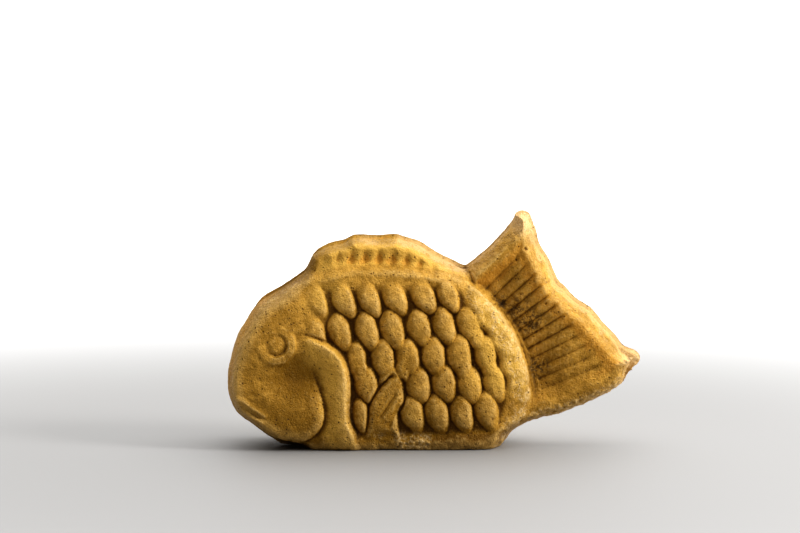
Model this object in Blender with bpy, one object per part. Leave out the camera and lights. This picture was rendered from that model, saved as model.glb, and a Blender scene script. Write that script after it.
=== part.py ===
"""Taiyaki: a fish-shaped cake baked in a two-sided mould, standing on its belly.

Metres, +Z up, +X from the mouth to the tail, -Y the left side of the fish. The origin is below the middle
of the cake's box, on the surface that it stands on. Every number in the tables below is in millimetres.

The cake is one solid. Its outline is drawn in the plane of the seam (y = 0). Each mould half gives a
thickness over that outline: a drafted wall that rises from the seam to a plate, the body raised on the
plate, and the relief of the fish on the body. The belly is cut off flat at z = 0.
"""

import math

import bpy
import numpy as np
from mathutils import Vector
from mathutils.geometry import delaunay_2d_cdt

MM = 0.001

# ---- driving sizes -------------------------------------------------------------------------------
FACET = 2.1  # side of the triangles that the surface is made of
RIM_FACET = 1.4  # depth of the first row of triangles behind the seam
LIP = 0.6  # half thickness of the thin fin of batter at the seam
PLATE = 8.6  # half thickness of the tail and of the dorsal fin
BODY_RISE = 3.0  # how far the body's edge stands above the tail
BODY_DOME = 2.8  # how much further the middle of the body swells
DOME_REACH = 24.0  # distance from the body's edge over which it swells
WALL_SLOPE = 1.9  # rise of the drafted wall for each millimetre in from the seam
HEAD_SLOPE = 2.8  # the same round the head, which is steeper
SHOULDER, HEAD_SHOULDER = 3.0, 9.0  # rounding where the wall meets the plate, and round the head
HALVES_SHIFT = (0.7, 1.3)  # how far the rear half sits off the front one, along X and Z

# ---- outline at the seam, from the mouth along the belly to the tail and back over the top --------
OUTLINE = (
    (-75.2, 24.0), (-74.6, 17.5), (-72.0, 12.2), (-67.0, 8.2), (-60.5, 3.4), (-56.0, 0.9), (-51.5, 0.2),
    (-47.5, -1.2), (-43.0, -4.2), (-37.0, -5.0), (15.0, -5.0), (21.5, -3.2), (25.8, 1.0), (28.4, 4.6),
    (31.0, 6.6), (38.5, 10.0), (46.0, 11.6), (57.0, 16.0), (64.5, 19.5), (69.0, 23.0), (71.8, 27.2),
    (74.6, 30.0), (75.3, 32.0), (73.8, 34.2), (69.4, 36.4), (66.3, 40.0), (61.5, 45.0), (57.5, 50.0),
    (52.5, 53.4), (48.0, 57.8), (45.0, 60.8), (42.0, 67.5), (38.5, 73.5), (37.2, 78.5), (35.6, 82.5),
    (34.6, 84.6), (32.2, 85.4), (29.6, 84.4), (27.5, 80.5), (19.5, 72.0), (13.0, 66.6), (11.0, 65.8),
    (7.0, 67.4), (0.0, 71.0), (-5.0, 74.2), (-11.0, 76.2), (-14.0, 76.9), (-20.5, 76.5), (-28.5, 77.0),
    (-33.0, 75.0), (-39.0, 73.2), (-43.8, 70.0), (-46.2, 65.3), (-48.5, 63.0), (-56.0, 58.0),
    (-62.5, 54.0), (-66.5, 49.0), (-71.5, 40.0), (-74.2, 31.5),
)

# ---- raised regions; where one runs past the outline, its own edge doesn't show --------------------
BODY = (
    (-44.0, 62.0), (-52.0, 66.0), (-76.0, 56.0), (-84.0, 30.0), (-80.0, 5.0), (-56.0, -10.0),
    (-20.0, -14.0), (18.0, -12.0), (27.0, -2.0), (31.5, 8.0), (34.2, 18.0), (33.2, 28.0), (30.2, 37.5),
    (26.0, 45.5), (19.5, 53.5), (12.0, 59.5), (2.0, 63.0), (-12.0, 65.0), (-30.0, 65.0),
)
GILL = (
    (-48.6, 42.2), (-44.0, 41.6), (-38.0, 38.6), (-32.8, 34.6), (-30.4, 29.6), (-30.1, 18.0),
    (-29.8, 11.0), (-28.0, 5.0), (-28.0, -8.0), (-60.0, -14.0), (-86.0, 0.0), (-88.0, 36.0), (-72.0, 46.0),
)
CHEEK = (
    (-46.4, 38.0), (-44.6, 31.0), (-42.2, 24.5), (-40.0, 17.5), (-39.6, 11.5), (-42.2, 6.4), (-47.0, 3.0),
    (-54.0, 0.4), (-66.0, -6.0), (-88.0, 4.0), (-90.0, 40.0), (-64.0, 52.0), (-50.0, 48.0),
)
GILL_RISE = 1.3
CHEEK_RISE = 1.7
CHEEK_VALLEY = 0.9  # how far the gill cover dips beside the cheek

# ---- scales: (x of the first, z of the first, spacing, rise from one to the next, how many) --------
SCALE_ROWS = (
    (-42.6, 53.4, 9.45, 0.35, 7),
    (-34.4, 41.8, 9.30, 0.65, 7),
    (-28.2, 32.5, 9.15, 0.50, 7),
    (-24.8, 23.6, 9.20, 0.05, 7),
    (-27.0, 12.4, 9.10, 0.35, 7),
)
SCALE_HALF = (4.7, 7.0)  # half width and half height of one scale
SCALE_RISE = 1.7
SCALE_SHOULDER = 1.7  # width of the slope down into the groove round a scale

# ---- fins, eye and mouth ---------------------------------------------------------------------------
FIN_RAYS = (  # pectoral fin: start, end, radius at the start and at the end
    ((-12.4, 27.4), (-21.4, 10.6), 1.7, 3.0),
    ((-11.6, 23.6), (-15.6, 7.6), 1.2, 3.2),
)
FIN_RISE = 1.9
DORSAL_GROOVES = 9
DORSAL_FIRST, DORSAL_LAST = (-40.0, 66.8), (-0.8, 63.8)  # feet of the first and last groove
DORSAL_HEIGHT = (3.6, 6.2)  # length of the end grooves and of the middle one
DORSAL_DEPTH = 1.0
TAIL_GROOVES = 13
TAIL_START = ((14.5, 58.2), (40.0, 21.4), 4.4)  # ends of the line where grooves begin, and how far it bows
TAIL_END = ((29.2, 75.0), (61.4, 30.4), 0.0)  # the same where they end
TAIL_DEPTH = 1.2
EYE_CENTRE = (-56.2, 37.8)
EYE_BALL, EYE_RING = 3.2, 7.2  # radii of the eyeball and of the ring round it
MOUTH = ((-72.6, 17.4), (-66.4, 15.6), (-61.2, 11.6))
MOUTH_SLIT = ((-72.4, 15.0), (-67.2, 13.2), (-62.8, 10.4))

BATTER = (0.60, 0.35, 0.10, 1.0)


# ---- plane geometry --------------------------------------------------------------------------------
def smooth_loop(points, step):
    """A closed Catmull-Rom curve through the points, as points about one step apart."""
    p = np.array(points, float)
    before, after, beyond = np.roll(p, 1, 0), np.roll(p, -1, 0), np.roll(p, -2, 0)
    t = np.linspace(0, 1, 24, endpoint=False)[:, None]
    dense = np.concatenate([
        0.5 * (2 * b + (c - a) * t + (2 * a - 5 * b + 4 * c - d) * t**2 + (3 * b - a - 3 * c + d) * t**3)
        for a, b, c, d in zip(before, p, after, beyond)
    ])
    gaps = np.linalg.norm(np.roll(dense, -1, 0) - dense, axis=1)
    along = np.concatenate([[0], np.cumsum(gaps)])
    stations = np.linspace(0, along[-1], max(8, round(along[-1] / step)), endpoint=False)
    closed = np.vstack([dense, dense[:1]])
    return np.column_stack([np.interp(stations, along, closed[:, axis]) for axis in (0, 1)])


def inside_distance(at, loop):
    """For each point of at: its distance to the loop, positive inside, and the outward normal there."""
    start, side = loop, np.roll(loop, -1, 0) - loop
    length2 = (side**2).sum(1)
    distance, normal = np.empty(len(at)), np.empty((len(at), 2))
    outward = np.column_stack([side[:, 1], -side[:, 0]]) / np.sqrt(length2)[:, None]
    for first in range(0, len(at), 2000):
        block = at[first:first + 2000]
        off = block[:, None, :] - start[None]
        share = np.clip((off * side).sum(2) / length2, 0, 1)
        gap2 = ((off - share[..., None] * side) ** 2).sum(2)
        nearest = gap2.argmin(1)
        crosses = (start[:, 1] > block[:, None, 1]) != (start[:, 1] + side[:, 1] > block[:, None, 1])
        with np.errstate(divide="ignore", invalid="ignore"):
            crossing_x = start[:, 0] + (block[:, None, 1] - start[:, 1]) / side[:, 1] * side[:, 0]
        within = (crosses & (block[:, None, 0] < crossing_x)).sum(1) % 2 == 1
        rows = slice(first, first + len(block))
        distance[rows] = np.sqrt(gap2[np.arange(len(block)), nearest]) * np.where(within, 1, -1)
        normal[rows] = outward[nearest]
    return distance, normal


def line_distance(at, points):
    """Distance from each point of at to an open run of straight lines, and how far along it, 0 to 1."""
    best, where = np.full(len(at), np.inf), np.zeros(len(at))
    count = len(points) - 1
    for i, (a, b) in enumerate(zip(points, points[1:])):
        a, side = np.array(a, float), np.array(b, float) - np.array(a, float)
        share = np.clip(((at - a) @ side) / (side @ side), 0, 1)
        gap = np.linalg.norm(at - a - share[:, None] * side, axis=1)
        where = np.where(gap < best, (i + share) / count, where)
        best = np.minimum(best, gap)
    return best, where


def ramp(value, low, high):
    """0 below low, 1 above high, and a smooth step between."""
    t = np.clip((value - low) / (high - low), 0, 1)
    return t * t * (3 - 2 * t)


def smooth_min(a, b, radius):
    """The lower of a and b, rounded where they cross."""
    h = np.clip(0.5 + 0.5 * (b - a) / radius, 0, 1)
    return b + (a - b) * h - radius * h * (1 - h)


# ---- relief ----------------------------------------------------------------------------------------
def scale_cells(at):
    """For each point: the offset from its own scale's centre, and the vector to the groove round it."""
    centres = np.array([
        (x + i * spacing, z + i * rise) for x, z, spacing, rise, count in SCALE_ROWS for i in range(count)
    ])
    off = at[:, None, :] - centres[None]
    gap = np.linalg.norm(off, axis=2)
    own, other = np.argsort(gap, axis=1)[:, :2].T
    rows = np.arange(len(at))
    across = centres[other] - centres[own]
    apart = np.linalg.norm(across, axis=1)
    edge = (gap[rows, other] ** 2 - gap[rows, own] ** 2) / (2 * apart)
    return off[rows, own], across * (edge / apart)[:, None]


def scale_relief(at):
    """Staggered rows of scales: rounded cells, each a low dome with a groove round it."""
    off, to_groove = scale_cells(at)
    radius = np.linalg.norm(off / np.array(SCALE_HALF), axis=1)
    edge = smooth_min(np.linalg.norm(to_groove, axis=1), (1 - radius) * SCALE_HALF[0] + 0.6, 0.8)
    return SCALE_RISE * (0.6 * ramp(edge, 0.1, SCALE_SHOULDER) + 0.4 * np.clip(1 - radius**2, 0, 1))


def scale_field(at):
    """1 where the skin carries scales: the body behind the gill cover, above the belly."""
    body, _ = inside_distance(at, smooth_loop(BODY, 2.0))
    gill, _ = inside_distance(at, smooth_loop(GILL, 2.0))
    return ramp(body, 1.2, 3.2) * ramp(-gill, -0.2, 1.0) * ramp(at[:, 1], 4.0, 6.5)


def fin_relief(at):
    """The pectoral fin: tapered rays side by side. Returns its height and where it covers the scales."""
    height, covers = np.zeros(len(at)), np.zeros(len(at))
    for start, end, r0, r1 in FIN_RAYS:
        gap, along = line_distance(at, (start, end))
        radius = r0 + (r1 - r0) * along
        height = np.maximum(height, FIN_RISE * ramp(radius - gap, -0.2, 1.5))
        covers = np.maximum(covers, ramp(radius + 1.4 - gap, 0, 1.0))
    return height, covers


def groove_feet(first, last, bow, count):
    """count points from first to last on a line that bows to its right by bow."""
    first, last = np.array(first, float), np.array(last, float)
    side = last - first
    right = np.array([-side[1], side[0]]) / np.linalg.norm(side)
    t = np.linspace(0, 1, count)[:, None]
    return first + t * side + bow * np.sin(math.pi * t) * right


def tail_grooves():
    """Both ends of each groove of the tail, in a fan from the body towards the rim."""
    return list(zip(groove_feet(*TAIL_START, TAIL_GROOVES), groove_feet(*TAIL_END, TAIL_GROOVES)))


def dorsal_grooves():
    """Both ends of each short upright groove of the dorsal fin, longest in the middle."""
    feet = groove_feet(DORSAL_FIRST, DORSAL_LAST, 0.0, DORSAL_GROOVES)
    arch = np.sin(math.pi * (np.arange(DORSAL_GROOVES) + 0.5) / DORSAL_GROOVES)
    height = DORSAL_HEIGHT[0] + (DORSAL_HEIGHT[1] - DORSAL_HEIGHT[0]) * arch
    return [(foot, foot + np.array([0.9, rise])) for foot, rise in zip(feet, height)]


def tail_relief(at):
    """Rays of the tail: grooves that taper out at both ends."""
    cut = np.zeros(len(at))
    for a, b in tail_grooves():
        gap, along = line_distance(at, (a, b))
        taper = ramp(along, 0, 0.06) * ramp(1 - along, 0, 0.12)
        cut = np.maximum(cut, taper * np.exp(-((gap / 0.75) ** 2)))
    return -TAIL_DEPTH * cut


def dorsal_relief(at):
    """Short grooves along the dorsal fin."""
    cut = np.zeros(len(at))
    for a, b in dorsal_grooves():
        gap, _ = line_distance(at, (a, b))
        cut = np.maximum(cut, np.exp(-((gap / 0.85) ** 2)))
    return -DORSAL_DEPTH * cut


def eye_relief(at):
    """An eyeball in a groove, with a raised ring round it that stands out most behind the eye."""
    off = at - np.array(EYE_CENTRE)
    r = np.linalg.norm(off, axis=1)
    ball = 1.0 * np.clip(1 - (r / EYE_BALL) ** 2, 0, 1) ** 0.7
    socket = -0.6 * np.exp(-(((r - EYE_BALL - 0.5) / 0.7) ** 2))
    ring = 1.1 * ramp(r, EYE_BALL + 0.6, EYE_BALL + 1.9) * ramp(EYE_RING - r, 0, 1.8)
    return ball + socket + ring * (0.65 + 0.35 * off[:, 0] / np.maximum(r, 0.1))


def mouth_relief(at):
    """The upper lip, a slit under it and the lower lip."""
    lip, _ = line_distance(at, MOUTH)
    slit, _ = line_distance(at, MOUTH_SLIT)
    return 1.1 * np.exp(-((lip / 1.3) ** 2)) - 1.2 * np.exp(-((slit / 0.9) ** 2))


def thickness(at, rear):
    """Half thickness of the cake over each point of the seam plane, for the rear or the front half."""
    inset, outward = inside_distance(at, smooth_loop(OUTLINE, 1.0))
    drift = outward @ np.array(HALVES_SHIFT)
    inset = inset - np.maximum(-drift if rear else drift, 0)
    body, _ = inside_distance(at, smooth_loop(BODY, 2.0))
    gill, _ = inside_distance(at, smooth_loop(GILL, 2.0))
    cheek, _ = inside_distance(at, smooth_loop(CHEEK, 2.0))

    crest = ramp(at[:, 0], 0, 16)  # the body's edge is a step at the tail and a soft rise under the fin
    edge = crest * ramp(body, -0.6, 1.8) + (1 - crest) * (0.55 + 0.45 * ramp(body, 0, 12)) * ramp(body, -3, 3)
    swell = 1 - (1 - np.clip(body / DOME_REACH, 0, 1)) ** 2
    solid = PLATE + BODY_RISE * edge + BODY_DOME * swell

    slope = WALL_SLOPE + (HEAD_SLOPE - WALL_SLOPE) * ramp(-at[:, 0], 30, 58)
    seam = LIP * (1 - np.exp(-np.maximum(inset, 0) / 0.4)) + np.maximum(inset, 0) * slope
    surface = smooth_min(seam, solid, SHOULDER + (HEAD_SHOULDER - SHOULDER) * ramp(-at[:, 0], 28, 50))

    face = ramp(inset, 1.0, 4.5)  # relief fades out on the wall
    fin, under_fin = fin_relief(at)
    relief = scale_relief(at) * scale_field(at) * (1 - under_fin) + fin
    relief += GILL_RISE * ramp(gill, -0.2, 1.5)
    cheek_edge = ramp(38 - at[:, 1], 0, 14)  # the cheek has no edge beside the eye
    relief += cheek_edge * CHEEK_RISE * ramp(cheek, -0.4, 1.8)
    relief -= cheek_edge * CHEEK_VALLEY * ramp(gill, 0, 3) * np.exp(-((np.minimum(cheek, 0) / 5) ** 2))
    relief += (tail_relief(at) + dorsal_relief(at)) * (1 - ramp(body, -2.5, 0.5))
    relief += eye_relief(at) + mouth_relief(at)
    return surface + relief * face


# ---- mesh ------------------------------------------------------------------------------------------
def cut_at_table(loop, step):
    """The part of the outline above z = 0, closed along that line. Returns the loop and its foot's ends."""
    above = loop[:, 1] > 0.25 * step
    start = next(i for i in range(len(loop)) if above[i] and not above[i - 1])
    run = np.roll(loop, -start, 0)
    kept = run[: int(above.sum())]
    crossings = []
    for inner, outer in ((kept[-1], run[len(kept)]), (kept[0], run[-1])):
        share = inner[1] / (inner[1] - outer[1])
        crossings.append(inner + share * (outer - inner))
    left, right = crossings
    count = max(2, round(abs(right[0] - left[0]) / step))
    foot = np.column_stack([np.linspace(left[0], right[0], count + 1), np.zeros(count + 1)])
    return np.vstack([kept, foot]), len(kept)


def onto_scale_grooves(at, reach):
    """The points, with those that lie within reach of a groove between scales moved onto its middle."""
    to_groove = scale_cells(at)[1]
    close = (np.linalg.norm(to_groove, axis=1) < reach) & (scale_field(at) > 0.5)
    return at + np.where(close[:, None], to_groove, 0)


def run_points(start, end, step):
    """Points about one step apart on the straight run between two points."""
    start, end = np.array(start, float), np.array(end, float)
    count = max(2, round(np.linalg.norm(end - start) / step) + 1)
    return start + np.linspace(0, 1, count)[:, None] * (end - start)


def beside(start, end, left):
    """The run between two points, moved to its left."""
    start, end = np.array(start, float), np.array(end, float)
    along = end - start
    across = left * np.array([-along[1], along[0]]) / np.linalg.norm(along)
    return start + across, end + across


def ray_points(grooves, half_width, step):
    """Points along the bottom of each groove of a fin and along both of its edges."""
    return np.vstack([
        run_points(*beside(a, b, left), step)
        for a, b in grooves for left in (-half_width, 0, half_width)
    ])


def ring_points(centre, radius, step):
    """Points about one step apart on a circle."""
    count = max(6, round(2 * math.pi * radius / step))
    angle = np.linspace(0, 2 * math.pi, count, endpoint=False)
    return np.array(centre) + radius * np.column_stack([np.cos(angle), np.sin(angle)])


def edge_points(loop, step):
    """Points along the foot and the top of a raised region's edge."""
    edge = smooth_loop(loop, step)
    _, outward = inside_distance(edge, edge)
    return np.vstack([edge + 0.3 * outward, edge - 1.5 * outward])


def feature_points(step):
    """Points that the surface needs so that its grooves, edges and rings are true lines."""
    eye = [ring_points(EYE_CENTRE, r, step) for r in (0.5 * EYE_BALL, EYE_BALL + 0.5, 5.2, EYE_RING)]
    fin = [
        run_points(beside(start, end, side * r0)[0], beside(start, end, side * r1)[1], step)
        for start, end, r0, r1 in FIN_RAYS for side in (-1, 0, 1)
    ]
    tail = ray_points(tail_grooves(), 0.95, 1.4 * step)
    dorsal = ray_points(dorsal_grooves(), 1.05, step)
    return np.vstack([tail, dorsal, *eye, *fin, edge_points(CHEEK, step), edge_points(GILL, step)])


def spread(kept, points, apart):
    """kept, with each of the points that lies no closer than apart to one that is already in it."""
    for point in points:
        if ((kept - point) ** 2).sum(1).min() >= apart**2:
            kept = np.vstack([kept, point])
    return kept


def hex_grid(low, high, step):
    """Points of a triangular grid over a box."""
    rows = int((high[1] - low[1]) / (step * 0.866)) + 1
    columns = int((high[0] - low[0]) / step) + 1
    return np.array([
        (low[0] + (i + 0.5 * (j % 2)) * step, low[1] + j * step * 0.866)
        for j in range(rows) for i in range(columns)
    ])


def plan(step, rim_step):
    """Points and triangles that fill the outline above the table, with the loop of its border first."""
    outline = smooth_loop(OUTLINE, step)
    border, foot_start = cut_at_table(outline, step)
    _, outward = inside_distance(outline, outline)
    grid = hex_grid((outline[:, 0].min(), 0.866 * step), outline.max(0), step)
    grid = grid[tail_relief(grid) + dorsal_relief(grid) > -0.05]
    flat = border
    for extra, depth, apart in (
        (outline - rim_step * outward, 0.9 * rim_step, 0.6 * step),
        (feature_points(step), rim_step + 0.5 * step, 0.4 * step),
        (onto_scale_grooves(grid, 0.42 * step), rim_step + 0.6 * step, 0.6 * step),
    ):
        inset, _ = inside_distance(extra, outline)
        flat = spread(flat, extra[(inset > depth) & (extra[:, 1] > 0.55 * step)], apart)
    ring = [(i, (i + 1) % len(border)) for i in range(len(border))]
    made = delaunay_2d_cdt([Vector(p) for p in flat], ring, [], 1, 1e-6)
    assert len(made[0]) == len(flat), "the outline crosses itself"
    return flat, [tuple(face) for face in made[2]], len(border), foot_start


def cake_mesh(name, step, rim_step):
    """Both halves over the plan, joined along the seam and by the flat foot."""
    flat, triangles, border, foot_start = plan(step, rim_step)
    feet = list(range(foot_start + 1, border - 1))  # border points with foot between the two halves
    front, back = thickness(flat, False), thickness(flat, True)
    shared = np.zeros(len(flat), bool)
    shared[:border] = True
    shared[feet] = False
    front[shared] = 0
    front_points = np.column_stack([flat[:, 0], -front, flat[:, 1]])
    back_points = np.column_stack([flat[:, 0], back, flat[:, 1]])[~shared]
    back_index = np.where(shared, np.arange(len(flat)), len(flat) + np.cumsum(~shared) - 1)

    faces = []
    for a, b, c in triangles:
        faces.append((a, b, c))
        faces.append((back_index[c], back_index[b], back_index[a]))
    run = [foot_start, *feet, border - 1]
    for a, b in zip(run, run[1:]):
        strip = [a, back_index[a], back_index[b], b]
        faces.append(tuple(dict.fromkeys(strip)))
    mesh = bpy.data.meshes.new(name)
    mesh.from_pydata(np.vstack([front_points, back_points]) * MM, [], [tuple(map(int, f)) for f in faces])
    mesh.validate()
    mesh.update()
    return mesh


def batter_material():
    material = bpy.data.materials.new("baked_batter")
    material.use_nodes = True
    shader = material.node_tree.nodes["Principled BSDF"]
    shader.inputs["Base Color"].default_value = BATTER
    shader.inputs["Roughness"].default_value = 0.55
    shader.inputs["Metallic"].default_value = 0.0
    return material


def main():
    for ob in list(bpy.data.objects):
        bpy.data.objects.remove(ob)
    cake = bpy.data.objects.new("taiyaki", cake_mesh("taiyaki", FACET, RIM_FACET))
    bpy.context.scene.collection.objects.link(cake)
    cake.data.materials.append(batter_material())
    cake.data.shade_smooth()
    cake.data.set_sharp_from_angle(angle=math.radians(50))


main()
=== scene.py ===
"""The looks of a taiyaki that stands on its belly: the browned, pored crust with painted light and shade, a
pale floor with a painted shadow pool round the cake, and the camera.

Sizes in the tables are millimetres in the part's frame: +X from the mouth to the tail, -Y the left side of
the fish, +Z up, and z = 0 the surface that it stands on. A place is (x, z) on the plane of the seam, where
the two halves of the mould meet. A span is where a smooth step begins and where it ends.
"""

import math

import bpy
import numpy as np
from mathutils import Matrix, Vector, noise
from mathutils.geometry import delaunay_2d_cdt

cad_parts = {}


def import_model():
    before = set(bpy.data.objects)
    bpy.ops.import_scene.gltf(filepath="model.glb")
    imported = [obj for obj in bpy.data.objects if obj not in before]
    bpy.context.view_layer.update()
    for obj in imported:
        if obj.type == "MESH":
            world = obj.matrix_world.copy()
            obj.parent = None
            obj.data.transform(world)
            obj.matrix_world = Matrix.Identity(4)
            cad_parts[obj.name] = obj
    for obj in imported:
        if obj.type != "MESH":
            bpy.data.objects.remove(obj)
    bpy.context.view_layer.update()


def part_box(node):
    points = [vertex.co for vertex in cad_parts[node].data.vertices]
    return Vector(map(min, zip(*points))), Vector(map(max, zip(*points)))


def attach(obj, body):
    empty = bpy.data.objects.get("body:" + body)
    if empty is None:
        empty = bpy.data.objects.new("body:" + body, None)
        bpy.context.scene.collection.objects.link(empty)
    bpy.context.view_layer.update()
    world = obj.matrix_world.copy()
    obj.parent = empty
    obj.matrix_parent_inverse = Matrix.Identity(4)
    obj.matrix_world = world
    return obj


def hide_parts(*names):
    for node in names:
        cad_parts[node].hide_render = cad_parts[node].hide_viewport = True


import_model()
NODE_LOW, NODE_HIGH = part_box("taiyaki")

LENGTH = 150.4  # the cake from mouth to tail, in the tables' millimetres
MM = (NODE_HIGH.x - NODE_LOW.x) / LENGTH

# ---- driving sizes -------------------------------------------------------------------------------
STEP = 0.48  # side of the crust's triangles
RIM_ROWS = (0.16, 0.36, 0.6, 0.85, 1.12, 1.4, 1.7, 2.0, 2.35)  # depths of the rows of points beside the seam
FOOT_ROWS = 24  # faces across the flat foot
LIP, LIP_WIDTH = 0.6, 0.4  # how far each half rises at once from the seam, and over what width
PLATE = 8.6  # half thickness of the tail and of the dorsal fin
BODY_RISE, BODY_DOME = 3.4, 4.0  # how much higher the body is at its edge, and its middle above that
DOME_REACH = 28.0  # from the body's edge to where its dome is level
WALL_SLOPE, HEAD_SLOPE, TOP_SLOPE, BELLY_SLOPE = 1.9, 4.5, 4.4, 4.0  # how steeply each edge rises
SHOULDER, HEAD_SHOULDER, TOP_SHOULDER = 7.0, 9.0, 10.0  # how broadly each edge bends into the face
HALVES_SHIFT = (0.7, 1.3)  # how much nearer to the tail, and how much higher, the rear half lies
SEAM_LEAN = 0.95  # how far the seam leans back for each millimetre of that shift
TIP_SET_BACK, TIP_REACH = 3.2, 6.5  # how far the front half's rear corner stays behind the rear half's
REAR_CORNER, UPPER_CORNER = (75.3, 31.5), (34.5, 82.0)  # of the tail
UPPER_REACH, UPPER_SINK, UPPER_STEEP = 12.0, 2.2, 0.35  # the upper corner is rounder and thinner

OUTLINE = (
    (-75.2, 24.0), (-74.6, 17.5), (-72.0, 12.2), (-67.0, 8.2), (-60.5, 3.4), (-56.0, 0.9), (-51.5, 0.2),
    (-47.5, -1.2), (-43.0, -4.2), (-37.0, -5.0), (15.0, -5.0), (21.5, -3.2), (25.8, 1.0), (28.4, 4.6),
    (31.0, 6.6), (38.5, 10.0), (46.0, 11.6), (57.0, 16.0), (64.5, 19.5), (69.0, 23.0), (71.8, 27.2),
    (74.6, 30.0), (75.3, 32.0), (73.8, 34.2), (69.4, 36.4), (66.3, 40.0), (61.5, 45.0), (57.5, 50.0),
    (52.5, 53.4), (48.0, 57.8), (45.0, 60.8), (42.0, 67.5), (38.5, 73.5), (37.2, 78.5), (35.6, 82.5),
    (34.6, 84.6), (32.2, 85.4), (29.6, 84.4), (27.5, 80.5), (19.5, 72.0), (13.0, 66.6), (11.0, 65.8),
    (7.0, 67.4), (0.0, 71.0), (-5.0, 74.2), (-11.0, 76.2), (-14.0, 76.9), (-20.5, 76.5), (-28.5, 77.0),
    (-33.0, 75.0), (-39.0, 73.2), (-43.8, 70.0), (-46.2, 65.3), (-48.5, 63.0), (-56.0, 58.0),
    (-62.5, 54.0), (-66.5, 49.0), (-71.5, 40.0), (-74.2, 31.5),
)
BODY = (  # the thick part, without the dorsal fin and the tail
    (-44.0, 62.0), (-52.0, 66.0), (-76.0, 56.0), (-84.0, 30.0), (-80.0, 5.0), (-56.0, -10.0),
    (-20.0, -14.0), (18.0, -12.0), (27.0, -2.0), (31.5, 8.0), (34.2, 18.0), (33.2, 28.0), (30.2, 37.5),
    (26.0, 45.5), (19.5, 53.5), (12.0, 59.5), (2.0, 63.0), (-12.0, 65.0), (-30.0, 65.0),
)
GILL = (
    (-49.5, 42.0), (-44.5, 41.2), (-39.0, 39.2), (-34.4, 36.4), (-31.6, 32.6), (-30.3, 27.0), (-30.1, 18.0),
    (-29.8, 11.0), (-28.0, 5.0), (-28.0, -8.0), (-60.0, -14.0), (-86.0, 0.0), (-88.0, 36.0), (-72.0, 46.0),
)
CHEEK = (
    (-46.4, 38.0), (-44.6, 31.0), (-42.2, 24.5), (-40.0, 17.5), (-39.6, 11.5), (-42.2, 6.4), (-47.0, 3.0),
    (-54.0, 0.4), (-66.0, -6.0), (-88.0, 4.0), (-90.0, 40.0), (-64.0, 52.0), (-50.0, 48.0),
)
GILL_RISE, GILL_RIDGE, RIDGE_WIDTH = 1.6, 1.7, 6.0
CHEEK_RISE, CHEEK_VALLEY, VALLEY_WIDTH = 2.3, 1.2, 3.0
HOLLOW, HOLLOW_DEPTH, HOLLOW_SIZE = (-49.0, 26.5), 2.6, (10.0, 6.364)  # between eye, cheek and gill
BROW_HEIGHT, BROW_SIZE = 0.8, 11.0
TEMPLE_DEPTH = 2.2  # how far the head slopes back above the gill
BELLY_TUCK, BELLY_TUCK_HEIGHT = 2.4, 4.0  # how far the belly curves under, and from what height

SCALE_ROWS = (  # x of the first, z of the first, spacing, rise from one to the next, lean, how many
    (-42.6, 54.0, 9.40, 0.35, 0.28, 6),
    (-43.0, 41.2, 9.15, 0.65, 0.19, 7),
    (-28.2, 32.5, 9.15, 0.50, 0.08, 6),
    (-24.8, 23.6, 9.20, 0.05, 0.10, 6),
    (-26.7, 12.4, 9.05, 0.35, 0.16, 6),
)
SCALE_HALF = (4.9, 7.9)  # half width and half height of one scale
SCALE_FULL = 2.1  # above 1, scales are fuller than a plain dome
SCALE_SKEW = 0.26  # how far a scale's top stands nearer to the tail
SCALE_RISE = 3.5
SCALE_MIDDLE = 0.55  # share of the rise that lies below the body's own surface
SQUEEZED, SQUEEZE = (4, 0), 0.86  # the first scale of the lowest row, between gill and fin, is smaller
SCALE_BRIDGES = (  # (row, place) of scales that run together
    ((1, 6), (2, 5)), ((2, 5), (3, 5)), ((2, 4), (3, 4)), ((2, 0), (3, 0)),
)
BRIDGE_HALF = (3.3, 5.0)
FIN_STEM = (-11.6, 29.4)  # where the fin runs into the scale above it
STEM_HALF = (3.3, 5.8)
CREST_WIDTH = (6.0, 10.5)  # full height up to the first depth behind the body's edge, gone at the second
CREST_PITCH = 9.6  # from one scallop of the crest's inner edge to the next
CREST_SCALLOP, CREST_LEAN, CREST_START = 0.9, 0.35, 3.0  # depth of the scallops, their lean and first place
SCALE_JITTER, SCALE_SPREAD = 0.4, 0.06  # how far scales stray, and how much their sizes differ
SCALES_MEET, PLAIN_MEETS, FLAT_MEETS, FIN_MEETS = 0.16, 0.22, 0.15, 0.1  # how softly scales meet these

FIN = (  # the pectoral fin's outline, which runs out into the belly
    (-13.4, 28.6), (-18.8, 23.8), (-22.6, 18.0), (-23.8, 12.5), (-24.0, -3.0), (-12.6, -3.0), (-12.9, 11.0),
    (-12.6, 14.4), (-10.9, 17.6), (-10.9, 22.0), (-11.6, 27.0),
)
FIN_HEIGHT, FIN_EDGE = 0.92, 2.4  # share of a scale's rise, and width of the rounded edge
FIN_CREASES = (((-14.2, 20.0), (-19.4, 12.2), 0.65), ((-12.6, 18.0), (-16.2, 9.0), 0.4))  # ends and depth
CREASE_WIDTH = 0.75
DORSAL_GROOVES = 9
DORSAL_FIRST, DORSAL_LAST = (-40.0, 66.8), (-0.8, 63.8)
DORSAL_HEIGHT = (3.6, 6.2)  # of the outermost grooves and of the middle ones
DORSAL_DEPTH, DORSAL_WIDTH = 1.1, 1.15
DORSAL_LEAN = 0.9  # how much nearer to the tail a groove's top is than its foot
DORSAL_FOOT = ((-46.0, 61.5), (-40.0, 63.6), (-29.0, 64.6), (-12.0, 63.8), (1.0, 60.4), (9.0, 57.0))
LEDGE_HEIGHT, LEDGE_WIDTH = 0.7, 2.2
TAIL_GROOVES = 13
TAIL_START = ((13.8, 57.4), (38.0, 20.6), 4.4)  # first and last groove's inner end, and the bow between
TAIL_END = ((29.2, 75.0), (61.4, 30.4), 0.0)
TAIL_DEPTH, TAIL_WIDTHS = 1.15, (0.6, 1.5)
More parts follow.
